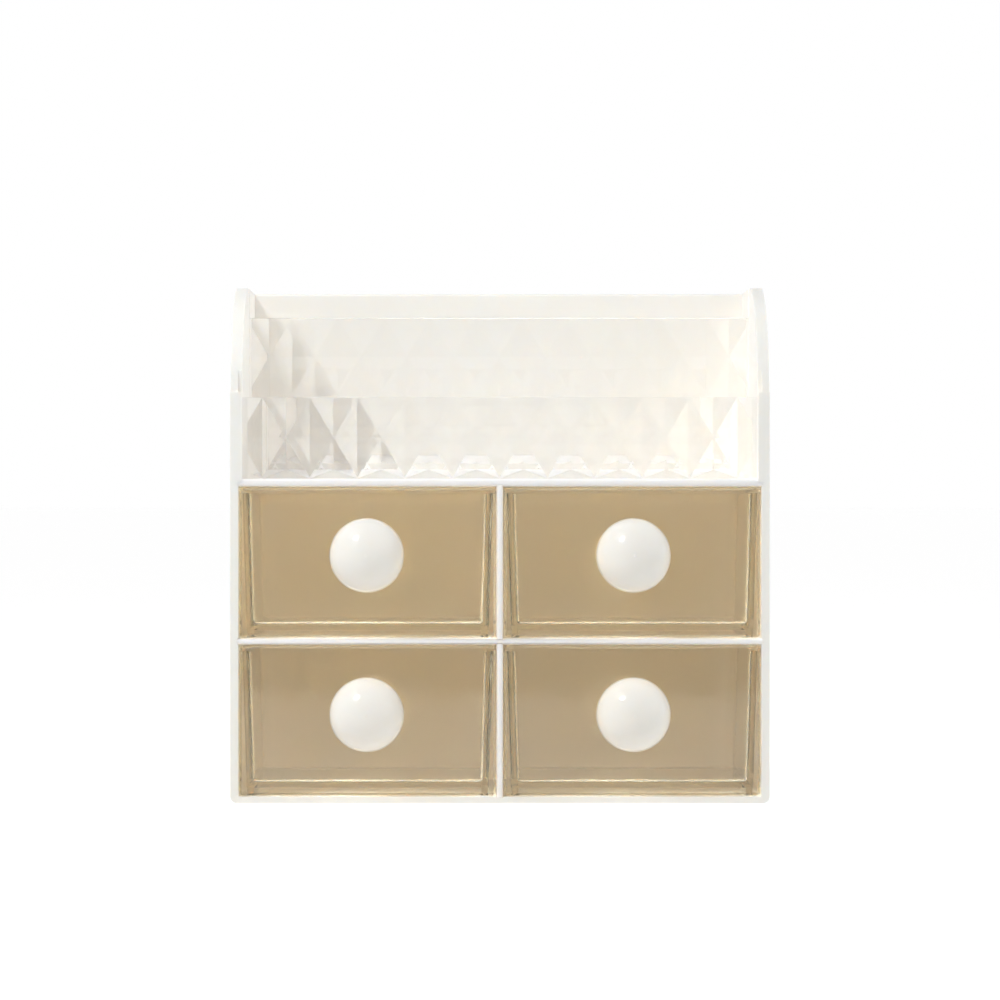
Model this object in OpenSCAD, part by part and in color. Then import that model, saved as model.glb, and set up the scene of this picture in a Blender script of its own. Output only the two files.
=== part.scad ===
// Desktop mini drawers: a white housing with two rows of two translucent drawers, under an open tray
// that is closed and divided by two clear panels with diamond facets.
// Millimetres. +Z is up, the front faces -Y, and the origin is the middle of the underside.

/* [Housing] */
// Overall width of the housing
body_w = 180; // [150:1:240]
// Overall depth of the housing
body_d = 100; // [82:1:140]
// Thickness of the base plate
base_t = 2.2; // [1.8:0.1:4]
// Thickness of the side walls beside the drawers
side_t = 2.8; // [2.4:0.1:4]
// Thickness of the wings above the deck
wing_t = 3.9; // [3:0.1:6]
// Thickness of the shelf between the drawer rows
shelf_t = 2; // [1.6:0.1:4]
// Thickness of the deck over the drawers
deck_t = 2.6; // [2.2:0.1:5]
// Thickness of the deck's ends, where they lie under the wings
tongue_t = 1.3; // [1:0.1:2]
// Thickness of the dividers between the drawers
divider_t = 2.1; // [1.6:0.1:4]
// Thickness of the back panel
back_t = 2.2; // [1.6:0.1:4]
// Clear height of each drawer cell
cell_h = 50.7; // [38:0.1:80]
// Radius of the housing's bottom corners
corner_r = 2.2; // [0.5:0.1:4]
// Radius of the corners inside the housing
inner_r = 0.8; // [0.2:0.1:1]
// Radius of the front edges of the plates
edge_r = 1.1; // [0.2:0.1:1.5]
// Depth of the seats that hold the plates' ends
seat_t = 0.4; // [0.2:0.1:0.8]
// Depth of the rebate that holds the back panel
rebate_t = 1; // [0.5:0.1:1.4]

/* [Wings] */
// Height of the front posts above the deck
post_h = 28.9; // [18:0.1:45]
// Rise of each wing's arc above its post
arc_rise = 36.8; // [15:0.1:60]
// Run of each wing's arc towards the back
arc_run = 50; // [20:1:70]
// Thickness of the lip in front of the fence
lip_t = 2; // [1.2:0.1:4]
// Length of each post's flat top behind its lip
post_notch = 1.4; // [0:0.1:2.4]
// Depth of the grooves that hold the clear panels
groove_depth = 1.4; // [0.8:0.1:2]

/* [Clear panels] */
// Height of the front fence
fence_h = 27.1; // [15:0.1:45]
// Height of the middle partition
partition_h = 55.6; // [20:0.1:64]
// Distance from the front of the housing to the partition's groove
partition_setback = 56; // [30:1:70]
// Thickness of the panels' ends in their grooves
strip_t = 2.1; // [1.5:0.1:4]
// Width of the smooth strip that shows at each end of the fence
fence_strip = 1.8; // [0.5:0.1:6]
// Width of the smooth strip that shows at each end of the partition
partition_strip = 0.8; // [0.5:0.1:6]
// Thickness of the panels under their facets
plate_t = 1.2; // [0.8:0.1:2]
// Height of the facets
facet_h = 1.5; // [0.5:0.1:2.5]
// Width of one diamond
diamond_w = 15.87; // [8:0.01:30]
// Height of one diamond
diamond_h = 26.8; // [10:0.1:40]
// Height of the top row's upper points above the panels' top edges
row_rise = 0.1; // [0.1:0.1:8]
// Height of the slope along the foot of each panel
foot_slope = 3.9; // [1:0.1:6]
// Gap on each face of a panel in its groove
panel_gap = 0.15; // [0.05:0.05:0.4]
// Gap between a panel's end and the bottom of its groove
panel_end_gap = 0.2; // [0.1:0.1:0.5]

/* [Drawers] */
// Thickness of the drawer's front plate
front_t = 2.2; // [1.5:0.1:4]
// Distance of the front plate behind the housing's front
front_inset = 0.5; // [0:0.1:2]
// Gap around the front plate in its cell
front_gap = 0.3; // [0.2:0.1:1]
// Radius of the front plate's corners
front_r = 1.6; // [1:0.1:3]
// Radius around the front plate's face
front_edge_r = 1; // [0.2:0.1:1]
// Thickness of the drawer's walls
wall_t = 2; // [1.2:0.1:3]
// Thickness of the drawer's floor
floor_t = 1.9; // [1.2:0.1:3]
// Gap beside the drawer at the walls' top edge
side_gap = 1.3; // [0.5:0.1:4]
// Lean of each wall over its height
wall_lean = 1.4; // [0:0.1:3]
// Gap over the walls' top edge
top_gap = 2.2; // [1:0.1:8]
// Free space behind a closed drawer
rear_room = 7.3; // [1:0.1:20]
// Radius of the drawer's upright corners
box_r = 3; // [2.2:0.1:6]
// Radius between the walls and the floor inside
floor_r = 1.2; // [0.5:0.1:3]
// Height of the runners under the floor
runner_h = 2.6; // [1:0.1:5]
// Width of each runner
runner_w = 2.3; // [1.5:0.1:6]
// Distance of each runner in from the box's lower edge
runner_inset = 0.2; // [0:0.1:4]
// Distance of the runners' ends from the box's back
runner_setback = 6; // [2:0.5:30]
// Gap under the runners
run_gap = 0.3; // [0.2:0.1:0.6]
// Height of the rib behind the front plate's top edge
rib_h = 1.2; // [0.5:0.1:3]
// Depth of that rib
rib_d = 1.7; // [0.5:0.1:4]

/* [Knobs] */
// Diameter of the ball
knob_d = 24.6; // [18:0.1:34]
// Diameter of the neck behind the ball
neck_d = 11; // [8:0.1:16]
// Gap between the ball and the front plate
neck_l = 0.5; // [0.2:0.1:6]
// Height of the knob above the middle of its cell
knob_rise = 2.5; // [-4:0.1:4]
// Diameter of the screw
screw_d = 3; // [2:0.1:4]
// Length of the screw under its head
screw_l = 10; // [6:0.5:14]
// Diameter of the screw's head
head_d = 6; // [4.5:0.1:8]
// Height of the screw's head
head_h = 2; // [1.2:0.1:3]
// Gap around the screw in the front plate
screw_gap = 0.2; // [0.1:0.1:0.5]

/* [Hidden] */
ROWS = ["lower", "upper"];
COLUMNS = ["left", "right"];
CELLS = [for (row = [0, 1], column = [0, 1]) [row, column]];
function cell_node(cell, piece) = str(ROWS[cell.x], "_", COLUMNS[cell.y], "_", piece);

housing_white = [0.96, 0.94, 0.9];
knob_white = [0.98, 0.97, 0.94];
clear = [0.86, 0.9, 0.94, 0.4];
tea = [0.74, 0.64, 0.46, 0.7];
steel = [0.72, 0.72, 0.74];

// How far a cut runs past the face that it opens
over = 1;
// Thickness of the slices that a drawer's box is hulled from
sliver = 0.01;
// Steps in each round corner, and in each wing's arc
corner_steps = 6;
arc_steps = 40;
// Steps round each turned shape
turned_steps = 96;
// Largest share of a plate's thickness that the radius of its edge may take
edge_share = 0.45;
// Radial gap between the screw and the hole that it is driven into
thread_gap = 0.05;
// Length of the screw's point, and the space left past it
point_l = 1;
pilot_room = 1;
// Radius of the screw head's edge, and the length, width and depth of its cross recess
head_r = 1.2;
recess_l = 3.6;
recess_w = 0.9;
recess_d = 1;

front_y = -body_d / 2;
back_y = body_d / 2;
panel_y = back_y - back_t;
side_x = body_w / 2 - side_t;
wing_x = body_w / 2 - wing_t;
shelf_z = base_t + cell_h;
deck_z = shelf_z + shelf_t + cell_h;
step_z = deck_z + tongue_t;
tray_z = deck_z + deck_t;
ledge_z = tray_z + post_h;
top_z = ledge_z + arc_rise;
groove_w = strip_t + 2 * panel_gap;
fence_y = front_y + lip_t;
arc_y = fence_y + post_notch;
partition_y = front_y + partition_setback;
cell_w = side_x - divider_t / 2;
cell_x = (side_x + divider_t / 2) / 2;
box_floor_z = run_gap + runner_h;
box_top_z = cell_h - top_gap;
box_front_y = front_inset + front_t;
box_back_y = body_d - back_t - rear_room;
knob_z = cell_h / 2 + knob_rise;
pilot_l = screw_l - front_t + pilot_room;

function cell_floor(row) = row == 0 ? base_t : shelf_z + shelf_t;
function edge_radius(t) = min(edge_r, edge_share * t);

// An angle brought between -180 and 180
function wrapped(angle) = angle > 180 ? angle - 360 : angle < -180 ? angle + 360 : angle;

// The points of a round corner of radius r at b, between its neighbours a and c
function round_corner(a, b, c, r) =
  let (
    u = (a - b) / norm(a - b),
    v = (c - b) / norm(c - b),
    half = acos(u * v) / 2,
    centre = b + (u + v) / norm(u + v) * r / sin(half),
    from = b + u * r / tan(half) - centre,
    to = b + v * r / tan(half) - centre,
    start = atan2(from.y, from.x),
    turn = wrapped(atan2(to.y, to.x) - start)
  )
  [for (i = [0:corner_steps])
    let (angle = start + turn * i / corner_steps)
    centre + r * [cos(angle), sin(angle)]];

// An outline of corners [x, y, radius] as plain points
function rounded(corners) =
  let (count = len(corners), flat = [for (p = corners) [p.x, p.y]])
  [for (i = [0:count - 1])
    each corners[i].z > 0
      ? round_corner(flat[(i + count - 1) % count], flat[i], flat[(i + 1) % count], corners[i].z)
      : [flat[i]]];

// Extrusions of an outline: across the width, from front to back and upwards
module along_x(from, to) translate([from, 0, 0]) rotate([90, 0, 90]) linear_extrude(to - from) children();
module along_y(from, to) translate([0, to, 0]) rotate([90, 0, 0]) linear_extrude(to - from) children();
module along_z(from, to) translate([0, 0, from]) linear_extrude(to - from) children();
module box(low, high) translate(low) cube(high - low);
module turned(d, h) cylinder(d = d, h = h, $fn = turned_steps);
module both_sides() {
  children();
  mirror([1, 0, 0]) children();
}

// ---- Housing ----

// The U of base and walls, seen from the front
shell_outline = rounded([
  [-body_w / 2, 0, corner_r],
  [body_w / 2, 0, corner_r],
  [body_w / 2, top_z, 0],
  [wing_x, top_z, 0],
  [wing_x, step_z, 0],
  [side_x, step_z, 0],
  [side_x, base_t, inner_r],
  [-side_x, base_t, inner_r],
  [-side_x, step_z, 0],
  [-wing_x, step_z, 0],
  [-wing_x, top_z, 0],
  [-body_w / 2, top_z, 0]
]);

// The quarter ellipse of a wing's rim, from its post to its flat top, as [y, z]
wing_arc = [for (i = [0:arc_steps])
  let (angle = 90 * i / arc_steps)
  [arc_y + arc_run * (1 - cos(angle)), ledge_z + arc_rise * sin(angle)]];

// What the wings' rims leave open above the posts
module above_wings() {
  sky_top = [[arc_y + arc_run, top_z + over], [front_y - over, top_z + over]];
  along_x(-body_w / 2 - over, body_w / 2 + over)
    polygon(concat([[front_y - over, ledge_z]], wing_arc, sky_top));
}

module panel_grooves(y) both_sides()
  box([wing_x - over, y, tray_z], [wing_x + groove_depth, y + groove_w, top_z + over]);

// The room that a plate's ends take in the walls
module plate_seat(from_z, to_z)
  box([-side_x - seat_t, front_y - over, from_z], [side_x + seat_t, panel_y, to_z]);

// The room that the dividers' ends take in the base, the shelf and the deck
module divider_seats() for (row = [0, 1])
  box([-divider_t / 2, front_y - over, cell_floor(row) - seat_t],
      [divider_t / 2, panel_y, cell_floor(row) + cell_h + seat_t]);

module outer_shell() color(housing_white) difference() {
  along_y(front_y, back_y) polygon(shell_outline);
  above_wings();
  panel_grooves(fence_y);
  panel_grooves(partition_y);
  plate_seat(shelf_z, shelf_z + shelf_t);
  plate_seat(deck_z, step_z);
  divider_seats();
  box([-side_x - rebate_t, panel_y, base_t - rebate_t], [side_x + rebate_t, back_y + over, top_z + over]);
}

module back_panel() color(housing_white)
  along_x(-side_x - rebate_t, side_x + rebate_t) polygon(rounded([
    [panel_y, base_t - rebate_t, 0],
    [back_y, base_t - rebate_t, 0],
    [back_y, top_z, edge_radius(back_t)],
    [panel_y, top_z, edge_radius(back_t)]
  ]));

// A level plate's outline from the side, with round front edges
module level_plate(from_z, to_z) {
  r = edge_radius(to_z - from_z);
  along_x(-side_x - seat_t, side_x + seat_t) polygon(rounded([
    [front_y, from_z, r],
    [panel_y, from_z, 0],
    [panel_y, to_z, 0],
    [front_y, to_z, r]
  ]));
}

// The ends are thinned to tongues that lie under the wings
module top_deck() color(housing_white) difference() {
  level_plate(deck_z, tray_z);
  both_sides() box([wing_x, front_y - over, step_z], [side_x + over, back_y, tray_z + over]);
  divider_seats();
}

module middle_shelf() color(housing_white) difference() {
  level_plate(shelf_z, shelf_z + shelf_t);
  divider_seats();
}

module divider(row) color(housing_white) {
  r = edge_radius(divider_t);
  along_z(cell_floor(row) - seat_t, cell_floor(row) + cell_h + seat_t) polygon(rounded([
    [-divider_t / 2, front_y, r],
    [divider_t / 2, front_y, r],
    [divider_t / 2, panel_y, 0],
    [-divider_t / 2, panel_y, 0]
  ]));
}
module lower_divider() divider(0);
module upper_divider() divider(1);

// ---- Clear panels ----

panel_x = wing_x + groove_depth - panel_end_gap;
ridge_angle = atan2(diamond_w, diamond_h);
ridge_pitch = diamond_w * cos(ridge_angle);

// A slab ribbed with straight ridges facing -Y, turned about Y by an angle. Its back is at y = 0.
module ridged_slab(angle, reach) {
  teeth = ceil(reach / ridge_pitch);
  ridges = [for (i = [-2 * teeth:2 * teeth]) [i * ridge_pitch / 2, plate_t + (i % 2 == 0 ? facet_h : 0)]];
  rotate([0, angle, 0]) rotate([180, 0, 0]) linear_extrude(2 * reach, center = true)
    polygon(concat([[-teeth * ridge_pitch, 0]], ridges, [[teeth * ridge_pitch, 0]]));
}

// A panel that stands on z = 0 with its back at y = 0. Two crossing sets of ridges make the pyramids,
// in rows from the top edge down; phase moves them sideways by that share of a diamond.
module diamond_panel(h, phase, strip) color(clear) {
  field_x = wing_x - strip;
  intersection() {
    turned_ridges(-ridge_angle, h, phase);
    turned_ridges(ridge_angle, h, phase);
    along_x(-field_x, field_x) polygon([
      [0, 0],
      [0, h],
      [-plate_t - facet_h, h],
      [-plate_t - facet_h, foot_slope],
      [-plate_t, 0]
    ]);
  }
  both_sides() box([field_x, -strip_t, 0], [panel_x, 0, h]);
}
module turned_ridges(angle, h, phase)
  translate([phase * diamond_w, 0, h + row_rise - diamond_h / 2]) ridged_slab(angle, body_w / 2 + h);

module panel_in_groove(y) translate([0, y + groove_w - panel_gap, tray_z]) children();
module front_fence() panel_in_groove(fence_y) diamond_panel(fence_h, 0, fence_strip);
module middle_partition() panel_in_groove(partition_y) diamond_panel(partition_h, 0.5, partition_strip);

// ---- Drawers ----
// Each cell's own frame: x = 0 in its middle, y = 0 at the housing's front, z = 0 on its floor

module in_cell(cell)
  translate([cell.y == 0 ? -cell_x : cell_x, front_y, cell_floor(cell.x)]) children();

// How far the walls lean inwards at a height
function lean(z) = wall_lean * (box_top_z - z) / (box_top_z - box_floor_z);

// A thin level slice of the drawer's box, drawn in from its outer face on the sides and at the back
module box_slice(z, inset, front, front_corner, back_corner) {
  x = cell_w / 2 - side_gap - lean(z) - inset;
  y = box_back_y - lean(z) - inset;
  along_z(z, z + sliver) polygon(rounded([
    [-x, front, front_corner],
    [x, front, front_corner],
    [x, y, back_corner],
    [-x, y, back_corner]
  ]));
}

module box_outside() hull() for (z = [box_floor_z, box_top_z - sliver])
  box_slice(z, 0, box_front_y - front_t / 2, 0, box_r);

module box_inside() {
  back_corner = box_r - wall_t + floor_r;
  hull() {
    for (i = [0:corner_steps]) {
      angle = 90 * i / corner_steps;
      z = box_floor_z + floor_t + floor_r * (1 - cos(angle));
      draw_in = floor_r * (1 - sin(angle));
      box_slice(z, wall_t + draw_in, box_front_y + draw_in, floor_r - draw_in, back_corner - draw_in);
    }
    box_slice(box_top_z + over, wall_t, box_front_y, floor_r, back_corner);
  }
}

// The front plate, with round corners and a round edge about its face
module front_plate() {
  x = cell_w / 2 - front_gap;
  low = front_gap;
  high = cell_h - front_gap;
  intersection() {
    along_y(front_inset, box_front_y)
      polygon(rounded([[-x, low, front_r], [x, low, front_r], [x, high, front_r], [-x, high, front_r]]));
    along_x(-x, x) polygon(rounded([
      [front_inset, low, front_edge_r],
      [box_front_y, low, 0],
      [box_front_y, high, 0],
      [front_inset, high, front_edge_r]
    ]));
    along_z(low, high) polygon(rounded([
      [-x, front_inset, front_edge_r],
      [x, front_inset, front_edge_r],
      [x, box_front_y, 0],
      [-x, box_front_y, 0]
    ]));
  }
}

module runners() {
  x = cell_w / 2 - side_gap - wall_lean - runner_inset;
  both_sides() box([x - runner_w, box_front_y - front_t / 2, run_gap],
                   [x, box_back_y - wall_lean - runner_setback, box_floor_z + floor_t / 2]);
}

module top_rib() {
  x = cell_w / 2 - side_gap - wall_t / 2;
  top = cell_h - front_gap - front_edge_r;
  box([-x, box_front_y - front_t / 2, top - rib_h], [x, box_front_y + rib_d, top]);
}

// The axis of the knob and its screw, pointing to the front, from a distance behind the housing's front
module on_knob_axis(y) translate([0, y, knob_z]) rotate([90, 0, 0]) children();

module drawer() color(tea) difference() {
  union() {
    front_plate();
    difference() {
      box_outside();
      box_inside();
    }
    runners();
    top_rib();
  }
  on_knob_axis(box_front_y + over) turned(screw_d + 2 * screw_gap, front_t + 2 * over);
}

module knob() color(knob_white) on_knob_axis(front_inset) difference() {
  union() {
    translate([0, 0, neck_l + knob_d / 2]) sphere(d = knob_d, $fn = turned_steps);
    turned(neck_d, neck_l + knob_d / 2);
  }
  translate([0, 0, -over]) turned(screw_d + 2 * thread_gap, pilot_l + over);
}

module knob_screw() color(steel) on_knob_axis(box_front_y) {
  difference() {
    rotate_extrude($fn = turned_steps)
      polygon(rounded([[0, 0, 0], [0, -head_h, 0], [head_d / 2, -head_h, head_r], [head_d / 2, 0, 0]]));
    for (turn = [0, 90]) rotate([0, 0, turn])
      box([-recess_l / 2, -recess_w / 2, -head_h - over], [recess_l / 2, recess_w / 2, recess_d - head_h]);
  }
  turned(screw_d, screw_l - point_l);
  translate([0, 0, screw_l - point_l])
    cylinder(d1 = screw_d, d2 = screw_d / 2, h = point_l, $fn = turned_steps);
}

outer_shell();
back_panel();
top_deck();
middle_shelf();
lower_divider();
upper_divider();
front_fence();
middle_partition();
for (cell = CELLS) {
  in_cell(cell) drawer();
  in_cell(cell) knob();
  in_cell(cell) knob_screw();
}
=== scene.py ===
"""Desktop mini drawers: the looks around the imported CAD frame."""

import math

import bpy
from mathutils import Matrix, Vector


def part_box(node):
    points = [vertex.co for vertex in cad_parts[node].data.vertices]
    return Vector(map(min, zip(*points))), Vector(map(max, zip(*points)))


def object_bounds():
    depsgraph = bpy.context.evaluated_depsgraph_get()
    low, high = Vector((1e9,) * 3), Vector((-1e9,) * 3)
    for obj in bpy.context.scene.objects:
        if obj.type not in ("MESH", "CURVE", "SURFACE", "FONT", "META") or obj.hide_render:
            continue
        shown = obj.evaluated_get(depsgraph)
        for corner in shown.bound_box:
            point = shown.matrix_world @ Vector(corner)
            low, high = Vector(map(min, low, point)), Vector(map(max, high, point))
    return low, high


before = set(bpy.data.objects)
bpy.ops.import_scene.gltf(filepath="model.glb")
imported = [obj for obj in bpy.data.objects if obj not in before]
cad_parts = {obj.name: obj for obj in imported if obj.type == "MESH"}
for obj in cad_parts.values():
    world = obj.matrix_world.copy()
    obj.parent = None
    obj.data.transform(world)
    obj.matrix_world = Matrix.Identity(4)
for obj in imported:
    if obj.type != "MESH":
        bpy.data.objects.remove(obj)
CAD_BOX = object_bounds()

MM = 0.001
CELLS = [f"{row}_{column}" for row in ("upper", "lower") for column in ("left", "right")]

# The camera stands upright in front of the object and a little to its left, level with the tray's floor
VIEW_DISTANCE = 1.62
VIEW_X = -0.0083
VIEW_Z = 0.1011
PICTURE_WIDTH = 1 / 3
AXIS_SHIFT = 0.025
SENSOR_WIDTH = 36.0

# The soft boxes stand at one distance. Each has its direction, its width and height in metres, and its power
LIGHT_DISTANCE = 1.3
LIGHTS = {
    "key": ((-0.48, -0.43, 0.76), (0.3, 0.3), 7.7),
    "glint": ((-0.58, -0.14, 0.80), (0.5, 0.5), 1.0),
    "strip_right": ((0.95, 0.29, 0.13), (0.09, 0.25), 0.35),
    "strip_over": ((0.1, 0.23, 0.97), (1.0, 0.07), 0.5)
}
# The studio's light at the horizon and overhead, and what each side adds within an angle
SKY_LOW = 0.63
SKY_HIGH = 0.34
SIDES = {(-1, 0, 0): 0.15, (1, 0, 0): 0.74}
SIDE_ANGLE = math.radians(75)
# The darkness round the camera: its share of the light, and the angles where it begins and has gone
GAP_LIGHT = 0.15
GAP_ANGLES = (math.radians(7), math.radians(24))
# Light that comes through the translucent deck into the upper cells
DECK_GLOW = 0.77
# How far its boxes stay from the cells' walls and the deck, and the share of the deck's depth that they take
GLOW_MARGIN = 3 * MM
GLOW_DROP = 0.2 * MM
GLOW_REACH = 0.6
# What the floor adds to itself for the camera alone, so that it is as white as the backdrop
FLOOR_LIFT = 0.5
# The share of the white backdrop that shows through clear plastic
SEEN_THROUGH = 0.7
# The floor's front edge, which the drawers' glossy fronts mirror, and its reach to the sides and back
FLOOR_FRONT = 0.9
FLOOR_REACH = 60.0

# Points of one CAD node that count as one, and flat faces that count as one
WELD_GAP = 0.002 * MM
FLAT_ANGLE = math.radians(0.3)


# ---- Materials ----


class Tree:
    """The nodes of a material or of the world."""

    def __init__(self, owner):
        owner.use_nodes = True
        self.nodes = owner.node_tree.nodes
        self.link = owner.node_tree.links.new
        self.place = self.add("TexCoord").outputs

    def feed(self, socket, value):
        """Links an input to another node's output, or sets it to a value."""
        if isinstance(value, bpy.types.NodeSocket):
            self.link(value, socket)
        else:
            socket.default_value = value

    def add(self, kind, *inputs, **values):
        """A new node, with its first inputs in order, and its properties or other inputs by name."""
        node = self.nodes.new("ShaderNode" + kind)
        for name, value in values.items():
            if hasattr(node, name):
                setattr(node, name, value)
            else:
                self.feed(node.inputs[name.replace("_", " ")], value)
        for socket, value in zip(node.inputs, inputs):
            self.feed(socket, value)
        return node

    def calculate(self, operation, *values):
        """The result of one step of arithmetic."""
        return self.add("Math", *values, operation=operation).outputs[0]

    def mix_shaders(self, factor, first, second, output):
        """Leads a mix of two shader nodes to the output."""
        mix = self.add("MixShader", factor, first.outputs[0], second.outputs[0])
        self.link(mix.outputs[0], output.inputs["Surface"])

    def seen_by_camera(self):
        """1 for what the camera sees, a little less through clear plastic, and 0 for every other ray."""
        path = self.add("LightPath").outputs
        turns = self.calculate("ADD", path["Diffuse Depth"], path["Glossy Depth"])
        straight = self.calculate("LESS_THAN", turns, 1)
        through = self.calculate("MULTIPLY", path["Is Transmission Ray"], straight)
        dimmed = self.calculate("MULTIPLY", through, SEEN_THROUGH)
        return self.calculate("MAXIMUM", path["Is Camera Ray"], dimmed)


class Surface(Tree):
    """A material with its main shader."""

    def __init__(self, name, **inputs):
        self.material = bpy.data.materials.new(name)
        super().__init__(self.material)
        self.shader = self.nodes["Principled BSDF"]
        self.output = self.nodes["Material Output"]
        self.shade(**inputs)

    def shade(self, **inputs):
        """Sets or links the main shader's inputs by name."""
        for name, value in inputs.items():
            self.feed(self.shader.inputs[name.replace("_", " ")], value)

    def noise(self, size, detail=2.0):
        """Noise from 0 to 1 in patches of about that size, in metres."""
        place = self.place["Object"]
        return self.add("TexNoise", Vector=place, Scale=1 / size, Detail=detail).outputs["Fac"]

    def spread(self, value, low, high):
        """The middle half of a 0 to 1 pattern, spread from low to high."""
        return self.add("MapRange", value, 0.25, 0.75, low, high).outputs["Result"]

    def tones(self, value, first, second):
        """A mix of two colours by a 0 to 1 pattern."""
        node = self.add("Mix", self.spread(value, 0, 1), data_type="RGBA")
        node.inputs[6].default_value = (*first, 1)
        node.inputs[7].default_value = (*second, 1)
        return node.outputs[2]

    def bump(self, *layers):
        """Bumps of each (pattern, height in metres), one on the other, on the main shader."""
        below = {}
        for pattern, height in layers:
            node = self.add("Bump", Strength=1.0, Distance=height, Height=pattern, **below)
            below = {"Normal": node.outputs["Normal"]}
        self.shade(**below)

    def let_lamps_through(self, tint):
        """Lamps shine through the clear material, tinted, where a glass shader alone would block them."""
        lamp_ray = self.add("LightPath").outputs["Is Shadow Ray"]
        gap = self.add("BsdfTransparent", Color=(*tint, 1))
        self.mix_shaders(lamp_ray, self.shader, gap, self.output)


def moulded_white(name, first, second, low_gloss, high_gloss):
    """Opaque warm white plastic: faint flow tones, uneven gloss and a fine orange peel."""
    surface = Surface(name, IOR=1.53)
    surface.shade(
        Base_Color=surface.tones(surface.noise(0.03), first, second),
        Roughness=surface.spread(surface.noise(0.009, 4.0), low_gloss, high_gloss),
        Subsurface_Weight=1.0,
        Subsurface_Radius=(1.0, 0.92, 0.82),
        Subsurface_Scale=0.6 * MM
    )
    surface.bump((surface.noise(0.014, 1.0), 0.05 * MM), (surface.noise(0.0007, 2.0), 0.003 * MM))
    return surface.material


def clear_styrene():
    """Water-clear moulded panel, with very slight ripples."""
    surface = Surface(
        "clear_styrene",
        Base_Color=(0.985, 0.985, 0.98, 1), Transmission_Weight=1.0, Roughness=0.015, IOR=1.57
    )
    surface.bump((surface.noise(0.006, 1.5), 0.02 * MM))
    surface.let_lamps_through((0.93, 0.93, 0.925))
    return surface.material


def tea_styrene():
    """Tea-coloured, slightly milky drawer plastic: its colour deepens with thickness."""
    surface = Surface(
        "tea_styrene",
        Base_Color=(0.989, 0.96, 0.873, 1), Transmission_Weight=0.95, Roughness=0.045, IOR=1.57
    )
    surface.bump((surface.noise(0.01, 1.5), 0.02 * MM))
    surface.let_lamps_through((0.95, 0.945, 0.93))
    depth = surface.add("VolumeAbsorption", Color=(0.9, 0.8, 0.4, 1), Density=2.0)
    surface.link(depth.outputs[0], surface.output.inputs["Volume"])
    return surface.material


def zinc_steel():
    """Plated screw steel, finely mottled."""
    surface = Surface("zinc_steel", Metallic=1.0)
    surface.shade(
        Base_Color=surface.tones(surface.noise(0.0008), (0.62, 0.62, 0.63), (0.72, 0.71, 0.69)),
        Roughness=surface.spread(surface.noise(0.0005, 4.0), 0.22, 0.42)
    )
    surface.bump((surface.noise(0.0002, 3.0), 0.004 * MM))
    return surface.material


HOUSING = moulded_white("warm_white_styrene", (0.968, 0.918, 0.868), (0.976, 0.928, 0.882), 0.38, 0.5)
# The deck, shelf and dividers are the housing's own plastic, given a lighter copy of its white: painted light
# that makes up for the shade on their rounded front edges
PLATES_PAINTED_LIGHTER = moulded_white("plate_white_painted_lighter", (0.984, 0.948, 0.911), (0.992, 0.958, 0.924), 0.38, 0.5)
KNOB = moulded_white("knob_white", (0.946, 0.89, 0.836), (0.956, 0.903, 0.851), 0.10, 0.15)
CLEAR = clear_styrene()
TEA = tea_styrene()
STEEL = zinc_steel()


# ---- CAD nodes ----


def finish_node(node, material, edge, steps=3, sharp=25):
    """A CAD node in its material. Modifiers round its edges that are sharper than some degrees to a radius."""
    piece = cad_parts[node]
    piece.data.materials.clear()
    piece.data.materials.append(material)
    weld = piece.modifiers.new("weld", "WELD")
    weld.merge_threshold = WELD_GAP
    flat = piece.modifiers.new("flat", "DECIMATE")
    flat.decimate_type = "DISSOLVE"
    flat.angle_limit = FLAT_ANGLE
    bevel = piece.modifiers.new("edges", "BEVEL")
    bevel.width = edge
    bevel.segments = steps
    bevel.limit_method = "ANGLE"
    bevel.angle_limit = math.radians(sharp)
    bevel.harden_normals = True


for node in ("outer_shell", "back_panel"):
    finish_node(node, HOUSING, 0.35 * MM)
# These thin plates wear the lighter copy of the white, which is painted light
for node in ("top_deck", "middle_shelf", "upper_divider", "lower_divider"):
    finish_node(node, PLATES_PAINTED_LIGHTER, 0.35 * MM)
for node in ("front_fence", "middle_partition"):
    finish_node(node, CLEAR, 0.1 * MM, steps=2, sharp=5)
for cell in CELLS:
    finish_node(f"{cell}_drawer", TEA, 0.25 * MM)
    finish_node(f"{cell}_knob", KNOB, 0.2 * MM, sharp=40)
    finish_node(f"{cell}_knob_screw", STEEL, 0.08 * MM, sharp=35)


# ---- Stage ----


def camera():
    """The photograph's view."""
    data = bpy.data.cameras.new("camera")
    data.sensor_width = SENSOR_WIDTH
    data.lens = data.sensor_width * VIEW_DISTANCE / PICTURE_WIDTH
    data.shift_x = AXIS_SHIFT
    view = bpy.data.objects.new("camera", data)
    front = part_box("outer_shell")[0].y
    view.location = (VIEW_X, front - VIEW_DISTANCE, VIEW_Z)
    view.rotation_euler = (math.radians(90), 0, 0)
    bpy.context.scene.collection.objects.link(view)
    bpy.context.scene.camera = view


def floor():
    """A plain pale floor."""
    mesh = bpy.data.meshes.new("floor")
    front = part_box("outer_shell")[0].y - FLOOR_FRONT
    corners = ((-1, front), (1, front), (1, FLOOR_REACH), (-1, FLOOR_REACH))
    mesh.from_pydata([(side * FLOOR_REACH, y, 0) for side, y in corners], [], [(0, 1, 2, 3)])
    plane = bpy.data.objects.new("floor", mesh)
    bpy.context.scene.collection.objects.link(plane)
    surface = Surface("pale_floor", Roughness=0.9, Emission_Color=(1, 1, 1, 1))
    surface.shade(
        Base_Color=surface.tones(surface.noise(0.4), (0.88, 0.88, 0.88), (0.89, 0.89, 0.89)),
        Emission_Strength=surface.calculate("MULTIPLY", surface.seen_by_camera(), FLOOR_LIFT)
    )
    mesh.materials.append(surface.material)


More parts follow.
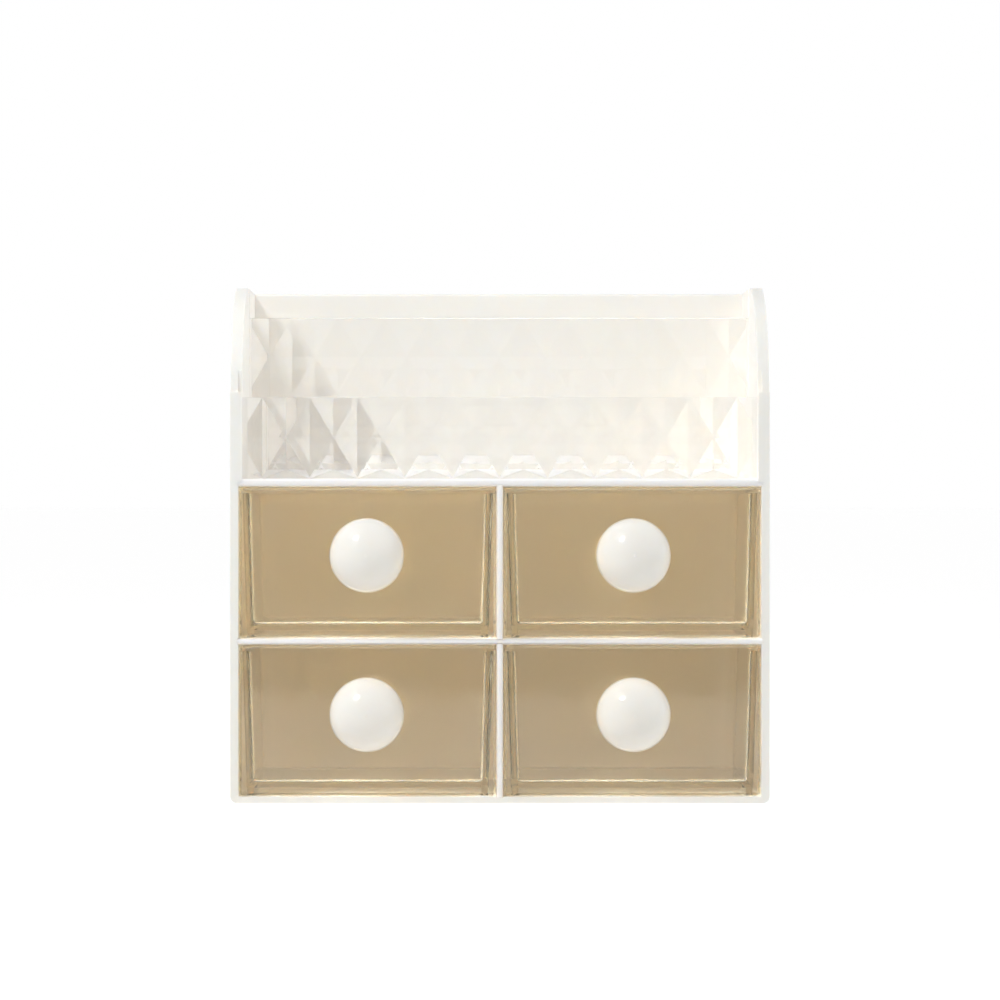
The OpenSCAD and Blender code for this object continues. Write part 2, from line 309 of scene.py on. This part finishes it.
def studio():
    """A pale studio, brightest at the horizon and on the right. The camera itself sees plain white."""
    world = bpy.data.worlds.new("studio")
    tree = Tree(world)

    def lobe(direction, full, none, first, last):
        """A value that eases from first to last between two angles from a direction."""
        looking = tree.place["Generated"]
        cosine = tree.add("VectorMath", looking, direction, operation="DOT_PRODUCT").outputs["Value"]
        ends = (math.cos(none), math.cos(full), last, first)
        return tree.add("MapRange", cosine, *ends, interpolation_type="SMOOTHSTEP").outputs["Result"]

    light = lobe((0, 0, 1), 0, math.radians(90), SKY_HIGH, SKY_LOW)
    for direction, strength in SIDES.items():
        light = tree.calculate("ADD", light, lobe(direction, 0, SIDE_ANGLE, strength, 0))
    light = tree.calculate("MULTIPLY", light, lobe((0, -1, 0), *GAP_ANGLES, GAP_LIGHT, 1))
    wall = tree.nodes["Background"]
    tree.feed(wall.inputs["Color"], (1, 1, 1, 1))
    tree.feed(wall.inputs["Strength"], light)
    backdrop = tree.add("Background", Color=(1, 1, 1, 1))
    tree.mix_shaders(tree.seen_by_camera(), wall, backdrop, tree.nodes["World Output"])
    bpy.context.scene.world = world


def area_light(name, width, height, power):
    """A rectangular soft box, which the camera doesn't see."""
    light = bpy.data.lights.new(name, "AREA")
    light.shape = "RECTANGLE"
    light.size = width
    light.size_y = height
    light.energy = power
    box = bpy.data.objects.new(name, light)
    box.visible_camera = False
    bpy.context.scene.collection.objects.link(box)
    return box


def deck_glow():
    """The light that the tray's deck lets through, as an unseen box under it in each upper cell."""
    low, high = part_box("top_deck")
    near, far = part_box("upper_divider")[1].x, high.x - GLOW_MARGIN
    width, depth = far - near - 2 * GLOW_MARGIN, (high.y - low.y) * GLOW_REACH
    for side in (-1, 1):
        box = area_light("deck_glow", width, depth, DECK_GLOW * math.pi * width * depth)
        box.location = (side * (near + far) / 2, low.y + depth / 2 + GLOW_MARGIN, low.z - GLOW_DROP)
        box.visible_glossy = False
        box.visible_transmission = False


def soft_boxes():
    """The soft boxes, which look at the middle of the object. The knobs throw no shadows in their light."""
    middle = (CAD_BOX[0] + CAD_BOX[1]) / 2
    blockers = bpy.data.collections.new("shadow_casters")
    for node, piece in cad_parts.items():
        if not node.endswith("_knob"):
            blockers.objects.link(piece)
    for name, (direction, size, power) in LIGHTS.items():
        box = area_light(name, *size, power)
        away = Vector(direction).normalized()
        box.location = middle + away * LIGHT_DISTANCE
        box.rotation_euler = away.to_track_quat("Z", "Y").to_euler()
        box.light_linking.blocker_collection = blockers


cycles = bpy.context.scene.cycles
cycles.blur_glossy = 0.0
cycles.max_bounces = 40
cycles.diffuse_bounces = 16
cycles.glossy_bounces = 24
cycles.transmission_bounces = 32
cycles.transparent_max_bounces = 24
bpy.context.scene.view_settings.view_transform = "Standard"
camera()
floor()
studio()
deck_glow()
soft_boxes()
